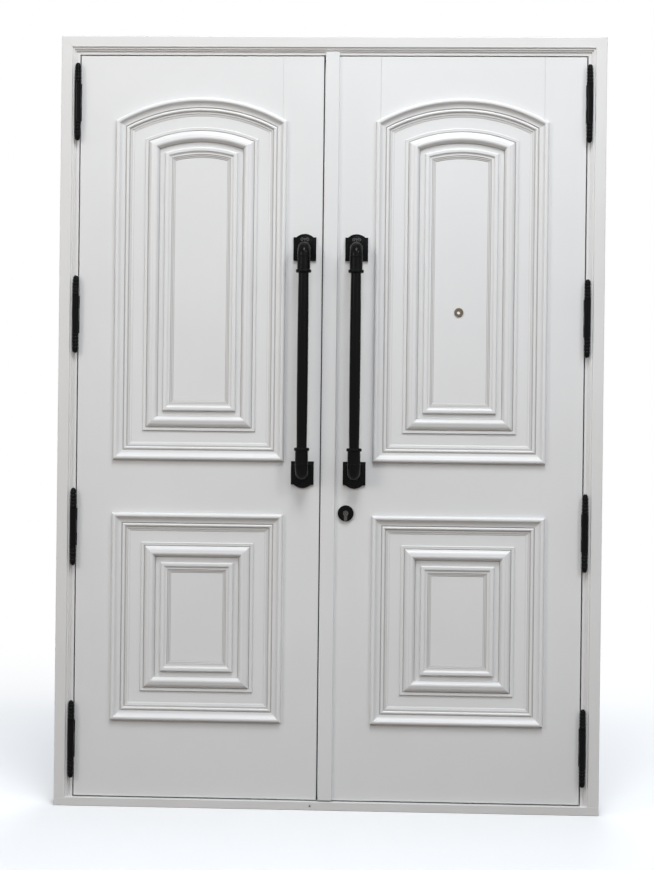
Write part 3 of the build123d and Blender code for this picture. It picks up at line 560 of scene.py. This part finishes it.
# %% Section of a moulding
section_steps, same_point = 9, 1e-7
section_shares = {
    "outer": [(0.0, 0.60), (0.03, 0.88, 0.105, 1.0), (0.155, 1.0), (0.20, 0.96, 0.235, 0.86),
              (0.33, 0.60, 0.485, 0.46), (0.52, 0.46), (0.53, 0.36), (0.57, 0.34), (0.645, 0.50, 0.735, 0.36),
              (0.745, 0.25), (0.86, 0.23), (0.88, 0.12), (0.94, 0.09, 1.0, 0.02), (1.0, 0.0)],
    "middle": [(0.0, 0.22), (0.02, 0.31, 0.06, 0.33), (0.20, 0.33), (0.21, 0.20), (0.235, 0.20),
               (0.34, 0.62, 0.60, 0.95), (0.74, 1.0, 0.84, 0.86), (0.95, 0.30), (1.0, 0.10), (1.0, 0.0)],
    "inner": [(0.0, 0.55), (0.05, 0.88, 0.16, 1.0), (0.28, 1.0), (0.34, 0.97, 0.40, 0.86),
              (0.48, 0.62, 0.60, 0.55), (0.66, 0.55), (0.68, 0.36), (0.80, 0.36), (0.82, 0.18), (0.93, 0.18),
              (1.0, 0.04), (1.0, 0.0)]}
width_share = {"outer": 0.211, "middle": 0.172, "inner": 0.1215}


def arc_points(start, middle, end, steps):
    """Points on the arc through three points: the circle's centre is equally far from all three,
    and the angle runs evenly from start to end past the middle."""
    a, b, c = (np.array(point, float) for point in (start, middle, end))
    lines = 2 * np.array([b - a, c - a])
    centre = np.linalg.solve(lines, [b @ b - a @ a, c @ c - a @ a])
    angle = [math.atan2(*(point - centre)[::-1]) for point in (a, b, c)]
    swing = [(later - angle[0] + math.pi) % (2 * math.pi) - math.pi for later in angle[1:]]
    turn = swing[1] if swing[0] * swing[1] > 0 else swing[1] + math.copysign(2 * math.pi, swing[0])
    way = angle[0] + turn * np.linspace(0, 1, steps + 1)[1:]
    return centre + np.hypot(*(a - centre)) * np.stack([np.cos(way), np.sin(way)], -1)


def section(kind, width, rise, foot):
    """Closed outline of a moulding: inset from its outer edge, and height over the panel."""
    size = np.array([width, rise])
    rows = [np.array(foot)]
    for share in section_shares[kind]:
        end = np.array(share[-2:]) * size
        if len(share) == 4:
            rows.append(arc_points(rows[-1][-1], np.array(share[:2]) * size, end, section_steps))
        elif np.hypot(*(end - rows[-1][-1])) > same_point:
            rows.append(end[None, :])
    outline = np.concatenate(rows)
    return outline if np.hypot(*(outline[-1] - outline[0])) > same_point else outline[:-1]


def shade_in_hollows(outline):
    """Painted shade for each point of an outline: the angle by which the outline turns inwards there, as a
    share of a right angle, and full at the two points that touch the panel."""
    before, after = outline - np.roll(outline, 1, 0), np.roll(outline, -1, 0) - outline
    cross = before[:, 0] * after[:, 1] - before[:, 1] * after[:, 0]
    turn = np.arctan2(cross, (before * after).sum(1))
    hollow_shade = np.clip(turn / (math.pi / 2), 0, 1)
    hollow_shade[[outline[:, 0].argmax(), outline[:, 0].argmin()]] = 1.0
    return hollow_shade


print("sections:", {kind: len(shares) for kind, shares in section_shares.items()})

# %% [markdown]
# A joiner runs a section round the panel in four lengths and mitres the corners. If every point of
# the section follows the panel's outline inset by that point's own distance, the mitres come out by
# themselves, and an arch is only an arc whose radius shrinks by the same inset.

# %% Rings round the panels
arch_radius, arch_steps, moulding_lap, moulding_crease = 0.545, 64, 0.013, 38.0
leaf_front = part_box("left_lock_rail")[0].y


def straight_run(start, end, outline, panel_y):
    """Length between two corners. start and end hold the X and Z of each section point's own corner."""
    depth = np.broadcast_to(panel_y - outline[:, 1], (2, len(outline)))
    flat = np.stack([start, end])
    return np.stack([flat[..., 0], depth, flat[..., 1]], -1)


def arched_run(middle, centre_z, radius, half, outline, panel_y):
    """Arched length: each section point runs on its own arc, from its left corner to its right one."""
    own_radius, own_half = radius - outline[:, 0], half - outline[:, 0]
    reach = np.arcsin(own_half / own_radius)
    angle = np.linspace(-1, 1, arch_steps)[:, None] * reach[None, :]
    depth = np.broadcast_to(panel_y - outline[:, 1], angle.shape)
    return np.stack([middle + own_radius * np.sin(angle), depth, centre_z + own_radius * np.cos(angle)], -1)


def moulding_ring(name, kind, half_outer, panel_y, centre_z):
    """Four mitred lengths of a moulding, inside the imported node's box. centre_z is None for a square ring."""
    low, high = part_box(name)
    middle, half = (low.x + high.x) / 2, (high.x - low.x) / 2
    rise = panel_y - low.y
    foot = [(moulding_lap, 0), (moulding_lap, panel_y - leaf_front), (0, panel_y - leaf_front)]
    outline = section(kind, half_outer * width_share[kind], rise, foot if kind == "outer" else [(0, 0)])
    inset = outline[:, 0]
    top = high.z - inset
    if centre_z is not None:
        radius = high.z - centre_z
        top = centre_z + np.sqrt((radius - inset) ** 2 - (half - inset) ** 2)
    corners = [np.stack([middle + sign * (half - inset), level], -1)
               for level in (low.z + inset, top) for sign in (-1, 1)]
    runs = [straight_run(corners[a], corners[b], outline, panel_y) for a, b in ((0, 1), (2, 0), (1, 3))]
    if centre_z is None:
        runs.append(straight_run(corners[3], corners[2], outline, panel_y))
    else:
        runs.append(arched_run(middle, centre_z, radius, half, outline, panel_y))
    return runs, shade_in_hollows(outline)


for side in ("left", "right"):
    for level in ("upper", "lower"):
        panel_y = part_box(f"{side}_{level}_panel")[0].y
        outer_low, outer_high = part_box(f"{side}_{level}_outer_moulding")
        half_outer = (outer_high.x - outer_low.x) / 2
        centre_z = outer_high.z - arch_radius if level == "upper" else None
        for kind in section_shares:
            name = f"{side}_{level}_{kind}_moulding"
            runs, hollow_shade = moulding_ring(name, kind, half_outer, panel_y, centre_z)
            # Each ring carries its painted shade in the hollows.
            add_piece(name + "_run", runs, side + "_leaf", "door_paint", [name], crease=moulding_crease, hollow_shade=hollow_shade)
print("moulding rings:", 4 * len(section_shares))

# %% [markdown]
# ## Turned hinge pins
# Each hinge is capped above and below by a long turned finial: a row of beads that grow a little
# smaller, and a round tip. Turned work is a profile carried round an axis, which is what the Spin
# tool does too. The beads are worked out as half waves on a tapering line, so one formula makes
# the whole row.

# %% Hinge pins
turned_steps, finial_steps, bead_count = 40, 110, 5
bead_end, bead_taper, bead_neck, tip_share, tip_close = 0.84, 0.10, 0.78, 0.92, 0.0004
barrel_length, pin_radius, hinge_count, pin_crease = 0.120, 0.005, 4, 50.0


def turned(profile, x, y):
    """Surface of revolution about an upright axis: the radius of each profile point swept round."""
    angle = np.linspace(0, 2 * math.pi, turned_steps, endpoint=False)
    radius, height = profile[:, :1], profile[:, 1:]
    return np.stack([x + radius * np.cos(angle), y + radius * np.sin(angle),
                     np.broadcast_to(height, (len(profile), turned_steps))], -1)


def finial_profile(barrel, length):
    """Radius along a finial, from its seat to its tip. Each bead is the root of a half wave of a sine, on a
    radius that falls evenly, and the tip closes as a quarter round."""
    way = np.linspace(0, 1, finial_steps)
    beads = np.clip(way / bead_end, 0, 1)
    taper = barrel * (1 - bead_taper * beads)
    waist = bead_neck + (1 - bead_neck) * np.sqrt(np.abs(np.sin(math.pi * bead_count * beads)))
    tip = np.sqrt(np.clip(1 - ((way - bead_end) / (1 - bead_end)).clip(0) ** 2, tip_close, 1))
    return np.stack([taper * np.where(way < bead_end, waist, tip * tip_share), way * length], -1)


def pin_profile(low, high, seat_low, seat_high, barrel, shank):
    """Whole pin from the lower tip to the upper one: a finial, the plain shank, a finial."""
    upper = finial_profile(barrel, high - seat_high)
    lower = finial_profile(barrel, seat_low - low)
    lower = np.stack([lower[:, 0], seat_low - lower[:, 1]], -1)[::-1]
    upper = np.stack([upper[:, 0], seat_high + upper[:, 1]], -1)
    return np.concatenate([lower, [[shank, seat_low], [shank, seat_high]], upper])


for side in ("left", "right"):
    low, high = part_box(side + "_hinge_pins")
    x, y, barrel = (low.x + high.x) / 2, (low.y + high.y) / 2, (high.x - low.x) / 2
    flap_low, flap_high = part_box(side + "_hinge_frame_flaps")
    finial = flap_low.z - low.z
    spacing = (flap_high.z - flap_low.z - barrel_length) / (hinge_count - 1)
    pins = [turned(pin_profile(seat - finial, seat + barrel_length + finial, seat, seat + barrel_length,
                               barrel, pin_radius), x, y)
            for seat in flap_low.z + spacing * np.arange(hinge_count)]
    add_piece(side + "_hinge_pins_turned", pins, "frame", "black_iron", [side + "_hinge_pins"], crease=pin_crease)
print("hinge finials:", 4 * hinge_count)

# %% [markdown]
# ## Pull handles
# A bracket is a wall plate with a crown and a raised panel, and an elbow that carries the bar. The
# plate is a stack of outlines, each drawn in and raised a little more. The elbow is a circle swept
# along a straight, a quarter bend and a straight. Its radius changes on the way: wide at the plate,
# a ring where the bend ends, and a rounded collar over the bar's end.

# %% Plate and elbow
plate_half, plate_rise, plate_crown, plate_ear, plate_thick = 0.0365, 0.0375, 0.011, 0.009, 0.008
plate_round, round_middle, crown_steps = 0.002, 0.3, 24
panel_inset, panel_rise, panel_round = 0.009, 0.003, 0.001
cove_width, cove_rise = 0.0008, 0.0006
bar_standoff, elbow_bend, socket_radius, root_flare = 0.062, 0.027, 0.0205, 0.0035
ring_height, ring_proud, collar_height, collar_proud, socket_drop = 0.004, 0.0015, 0.011, 0.004, 0.076
around_steps, elbow_steps, swell_steps = 40, 48, 13


def plate_loop(inset):
    """Outline of the wall plate drawn in by inset: an arc from ear to ear over the crown, then straight sides."""
    side, top, low = plate_half - inset, plate_rise - inset, inset - plate_rise
    ear = side - plate_ear
    crown = arc_points((ear, top), (0, top + plate_crown), (-ear, top), crown_steps)
    return np.concatenate([crown, [(-side, top), (-side, low), (side, low), (side, top), (ear, top)]])


def plate_grid(x, z, up):
    """Stack of plate outlines from the door's face outwards. up is 1, or -1 for a plate turned over."""
    middle, panel_top = plate_round * round_middle, plate_thick + panel_rise
    steps = [(0, 0), (0, plate_thick - plate_round), (middle, plate_thick - middle), (plate_round, plate_thick),
             (panel_inset - cove_width, plate_thick), (panel_inset, plate_thick + cove_rise),
             (panel_inset, panel_top - panel_round), (panel_inset + panel_round, panel_top)]
    loops = np.stack([plate_loop(inset) for inset, _ in steps])
    depth = np.broadcast_to(np.array([leaf_front - out for _, out in steps])[:, None], loops.shape[:2])
    return np.stack([x + loops[..., 0], depth, z + up * loops[..., 1]], -1)


def elbow_radii():
    """Distance along the elbow's axis and radius there: a flare that eases away over the bend, a ring,
    the plain socket and the collar. Ring and collar swell like half rounds."""
    straight = bar_standoff - elbow_bend
    bend_end = straight + elbow_bend * math.pi / 2
    total = bend_end + socket_drop - elbow_bend + collar_height / 2
    way, swell = np.linspace(0, 1, elbow_steps), np.linspace(-1, 1, swell_steps)
    flare = socket_radius + root_flare * (0.5 + 0.5 * np.cos(math.pi * way)) ** 2
    ring = socket_radius + ring_proud * np.sqrt(1 - swell ** 2)
    collar = socket_radius + collar_proud * np.sqrt(1 - swell ** 4)
    return np.concatenate([
        np.stack([way * bend_end, flare], -1),
        np.stack([bend_end + (swell + 1) / 2 * ring_height, ring], -1),
        np.stack([total - collar_height + (swell + 1) / 2 * collar_height, collar], -1)])


def elbow_grid(x, z, up):
    """Circle swept along the elbow's axis, from the plate out and round into the line of the bar."""
    along, radius = elbow_radii().T
    straight = bar_standoff - elbow_bend
    turn = np.clip((along - straight) / elbow_bend, 0, math.pi / 2)
    drop = np.clip(along - straight - elbow_bend * math.pi / 2, 0, None)
    out = np.minimum(along, straight) + elbow_bend * np.sin(turn)
    down = elbow_bend * (1 - np.cos(turn)) + drop
    angle = np.linspace(0, 2 * math.pi, around_steps, endpoint=False)
    side, rim = radius[:, None] * np.cos(angle), radius[:, None] * np.sin(angle)
    return np.stack([x + side, leaf_front - out[:, None] - rim * np.sin(turn)[:, None],
                     z + up * (rim * np.cos(turn)[:, None] - down[:, None])], -1)


print("elbow stations:", len(elbow_radii()))

# %% [markdown]
# The upper plate's crown carries a small scroll in relief: two volutes and a stem between them. The
# scroll's wire is painted paler, as a painted highlight. A volute is a spiral, so its radius falls
# evenly while the angle grows. The bar is turned, and a little thicker in the middle.

# %% Scroll, brackets and bars
scroll_wire, wire_steps = 0.0011, 8
volute_size, volute_turns, volute_close, volute_steps = 0.0062, 1.35, 0.82, 44
volute_aside, volute_up = 0.0085, 0.0295
stem_low, stem_high, stem_steps = 0.0240, 0.0355, 6
bar_swell, bar_steps, cast_crease = 0.0015, 60, 40.0


def wire_grid(line):
    """Thin round wire along a flat line of X, Z points that lies on the plate's panel."""
    along = np.gradient(line, axis=0)
    across = np.stack([-along[:, 1], along[:, 0]], -1) / np.hypot(*along.T)[:, None]
    angle = np.linspace(0, 2 * math.pi, wire_steps, endpoint=False)
    flat = line[:, None, :] + scroll_wire * np.cos(angle)[None, :, None] * across[:, None, :]
    depth = leaf_front - plate_thick - panel_rise - scroll_wire * np.sin(angle)
    return np.stack([flat[..., 0], np.broadcast_to(depth, flat.shape[:2]), flat[..., 1]], -1)


def scroll_grids(x, z):
    """Two mirrored volutes and a stem under the crown."""
    turn = np.linspace(0, 2 * math.pi * volute_turns, volute_steps)
    reach = volute_size * (1 - volute_close * turn / turn[-1])
    volutes = [np.stack([x + hand * (volute_aside - reach * np.cos(turn)), z + volute_up + reach * np.sin(turn)], -1)
               for hand in (-1, 1)]
    stem = np.stack([np.full(stem_steps, x), z + np.linspace(stem_low, stem_high, stem_steps)], -1)
    return [wire_grid(line) for line in (*volutes, stem)]


def bar_profile(low, high, radius):
    """Radius along the bar: thickest in the middle, falling off with the square of the distance."""
    way = np.linspace(-1, 1, bar_steps)
    height = (low + high) / 2 + way * (high - low) / 2
    return np.stack([radius - bar_swell * way ** 2, height], -1)


for side in ("left", "right"):
    for level, up in (("upper", 1), ("lower", -1)):
        name = f"{side}_handle_{level}_bracket"
        low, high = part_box(name)
        x = (low.x + high.x) / 2
        z = high.z - plate_rise - plate_crown if up > 0 else low.z + plate_rise + plate_crown
        plain = [plate_grid(x, z, up), elbow_grid(x, z, up)]
        scroll = scroll_grids(x, z) if up > 0 else []
        # Painted highlight: the scroll's wire is painted paler, the plate and elbow not.
        scroll_highlight = [0.0] * len(plain) + [1.0] * len(scroll)
        add_piece(name + "_cast", plain + scroll, side + "_leaf", "black_iron", [name],
                  crease=cast_crease, scroll_highlight=scroll_highlight)
    low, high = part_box(side + "_handle_bar")
    bar = turned(bar_profile(low.z, high.z, (high.x - low.x) / 2), (low.x + high.x) / 2, (low.y + high.y) / 2)
    add_piece(side + "_handle_bar_turned", [bar], side + "_leaf", "black_iron", [side + "_handle_bar"])
print("brackets: 4, bars: 2")

# %% [markdown]
# ## Seal between the leaves
# The two meeting edges stand a few millimetres apart so that either leaf can swing. A rubber strip
# in the left leaf's edge, in front of the bolts, closes the gap to the eye and to draughts. It is
# one section with two bevelled corners, carried straight up the stile.

# %% Meeting seal
seal_reach, seal_depth, seal_setback, seal_bite, seal_bevel = 0.0036, 0.0075, 0.0030, 0.0010, 0.3
stile_low, stile_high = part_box("left_meeting_stile")
flat_part = 1 - seal_bevel
seal_out = np.array([-seal_bite, seal_reach * flat_part, seal_reach, seal_reach, seal_reach * flat_part, -seal_bite])
seal_back = seal_depth * np.array([0, 0, seal_bevel, flat_part, 1, 1])
seal_ends = np.array([[stile_low.z], [stile_high.z]])
seal_grid = np.stack(np.broadcast_arrays(
    stile_high.x + seal_out, stile_low.y + seal_setback + seal_back, seal_ends), -1)
add_piece("meeting_seal", [seal_grid], "left_leaf", "seal_rubber")
print("meeting seal:", round(stile_high.z - stile_low.z, 3), "m long")

# %% [markdown]
# ## Camera
# The camera stands where the photograph was taken: a little to the right of the middle, at about
# breast height, five metres away. Its focal length is known in pixels of the image, so the lens
# follows from the sensor's height.

# %% Camera
image_height, focal_pixels, sensor_height = 870.0, 1640.1, 24.0
camera_place, camera_turn = (0.1947, -5.2988, 1.2087), (1.5693, -0.0115, 0.0381)
lens = bpy.data.cameras.new("camera")
lens.sensor_fit = "VERTICAL"
lens.sensor_height = sensor_height
lens.lens = focal_pixels * sensor_height / image_height
camera = bpy.data.objects.new("camera", lens)
camera.location, camera.rotation_euler = camera_place, camera_turn
bpy.context.scene.collection.objects.link(camera)
bpy.context.scene.camera = camera
print("lens:", round(lens.lens, 2), "mm")

# %% [markdown]
# ## Light
# White paint on white mouldings shows only by its shading, so most of the light falls steeply, from
# a sky lamp over the front and a key lamp at the upper right. A narrow window lamp on the right and
# a pale one above the camera give the satin its sheen, a warm one fills from the left, and one
# behind lights the inner side.

# %% Lights
lamps = {
    "key": dict(place=(3.4, -3.9, 4.9), target=(0, 0, 1.4), size=(0.8, 0.8), power=62.0,
                colour=(0.98, 0.99, 1.0)),
    "sky": dict(place=(0.3, -2.7, 5.5), target=(0.1, 0, 1.5), size=(1.4, 1.4), power=136.0,
                colour=(0.96, 0.98, 1.0)),
    "window": dict(place=(3.6, -4.6, 2.5), target=(0, 0, 1.6), size=(0.5, 1.2), power=17.0,
                   colour=(0.94, 0.97, 1.0)),
    "sheen": dict(place=(1.0, -6.2, 3.6), target=(0.2, 0, 1.8), size=(2.0, 2.0), power=26.0,
                  colour=(0.80, 0.91, 1.0)),
    "left_fill": dict(place=(-3.9, -3.9, 3.2), target=(0, 0, 0.8), size=(1.6, 1.6), power=78.0,
                      colour=(1.0, 0.955, 0.91)),
    "back_fill": dict(place=(0.5, 4.5, 3.6), target=(0, 0, 1.2), size=(2.6, 2.6), power=120.0,
                      colour=(1.0, 1.0, 1.0)),
}


def soft_light(name, place, target, size, power, colour):
    """Lamp with a width and a height, turned towards a point."""
    lamp = bpy.data.lights.new(name, "AREA")
    lamp.shape = "RECTANGLE"
    lamp.size, lamp.size_y = size
    lamp.energy, lamp.color = power, colour
    item = bpy.data.objects.new(name, lamp)
    item.location = place
    item.rotation_euler = (Vector(target) - Vector(place)).to_track_quat("-Z", "Y").to_euler()
    bpy.context.scene.collection.objects.link(item)


for name, setting in lamps.items():
    soft_light(name, **setting)
print("lamps:", len(lamps))

# %% [markdown]
# ## World and floor
# The background is white to the eye, also in reflections, but a white dome would light the door
# from all sides and wash out the mouldings. So the Light Path node tells the two apart: as a light,
# the world is a dome that is bright above and dim below.

# %% World
ground_glow, horizon_glow, sky_glow = (0.06, 0.046, 0.036, 1), (0.16, 0.15, 0.14, 1), (0.60, 0.65, 0.72, 1)
ground_stop, horizon_stop, sky_stop = 0.46, 0.54, 0.85


def seen_by_eye(tree):
    """1 where the ray is the camera's or a reflected or refracted view, else 0."""
    path = add_node(tree, "ShaderNodeLightPath")
    seen = math_node(tree, "MAXIMUM", path.outputs["Is Camera Ray"], path.outputs["Is Glossy Ray"])
    return math_node(tree, "MAXIMUM", seen, path.outputs["Is Transmission Ray"])


def dome_world():
    """White to the eye; as a light, a ramp of colour over the height of the direction, from -1 to 1."""
    world = bpy.data.worlds.new("dome")
    world.use_nodes = True
    tree = world.node_tree
    back = next(node for node in tree.nodes if node.type == "BACKGROUND")
    place = add_node(tree, "ShaderNodeTexCoord")
    split = add_node(tree, "ShaderNodeSeparateXYZ")
    ramp = add_node(tree, "ShaderNodeValToRGB")
    stops = ramp.color_ramp.elements
    stops[0].position, stops[0].color = ground_stop, ground_glow
    stops[1].position, stops[1].color = sky_stop, sky_glow
    stops.new(horizon_stop).color = horizon_glow
    tree.links.new(place.outputs["Generated"], split.inputs[0])
    tree.links.new(math_node(tree, "MULTIPLY_ADD", split.outputs["Z"], 0.5, 0.5), ramp.inputs["Fac"])
    tree.links.new(mix_colour(tree, seen_by_eye(tree), ramp.outputs["Color"], (1, 1, 1, 1)), back.inputs["Color"])
    back.inputs["Strength"].default_value = 1.0
    return world


bpy.context.scene.world = dome_world()
bpy.context.scene.view_settings.view_transform = "Standard"
print("world:", bpy.context.scene.world.name)

# %% [markdown]
# A door needs ground to stand on, or it seems to float. A shadow catcher would do, but a plain square
# can also fade: near the door it is pale and matt and takes the shadow, and further out it turns into
# the white of the background, so that no edge shows.

# %% Floor
floor_reach, floor_drop, fade_band = 9.0, 0.0005, (1.1, 4.2)
floor_bounce, floor_pale = (0.16, 0.125, 0.10, 1), (0.84, 0.84, 0.835, 1)


def floor_material():
    """Pale floor that fades into the white background, and that throws back little light."""
    material = bpy.data.materials.new("floor")
    material.use_nodes = True
    tree = material.node_tree
    tree.nodes.clear()
    result = add_node(tree, "ShaderNodeOutputMaterial")
    seen = seen_by_eye(tree)
    matt = add_node(tree, "ShaderNodeBsdfDiffuse")
    tree.links.new(mix_colour(tree, seen, floor_bounce, floor_pale), matt.inputs["Color"])
    glow = add_node(tree, "ShaderNodeEmission")
    place = add_node(tree, "ShaderNodeTexCoord")
    distance = add_node(tree, "ShaderNodeVectorMath", operation="LENGTH")
    tree.links.new(place.outputs["Object"], distance.inputs[0])
    fade = band_mask(tree, distance.outputs["Value"], fade_band, interpolation_type="SMOOTHSTEP")
    mixed = add_node(tree, "ShaderNodeMixShader")
    tree.links.new(math_node(tree, "MULTIPLY", fade, seen), mixed.inputs[0])
    tree.links.new(matt.outputs[0], mixed.inputs[1])
    tree.links.new(glow.outputs[0], mixed.inputs[2])
    tree.links.new(mixed.outputs[0], result.inputs["Surface"])
    return material


floor_mesh = bpy.data.meshes.new("floor")
floor_corners = [(x * floor_reach, y * floor_reach, -floor_drop) for x, y in ((-1, -1), (1, -1), (1, 1), (-1, 1))]
floor_mesh.from_pydata(floor_corners, [], [[0, 1, 2, 3]])
floor_mesh.materials.append(floor_material())
floor = bpy.data.objects.new("floor", floor_mesh)
bpy.context.scene.collection.objects.link(floor)
print("floor:", 2 * floor_reach, "m square")
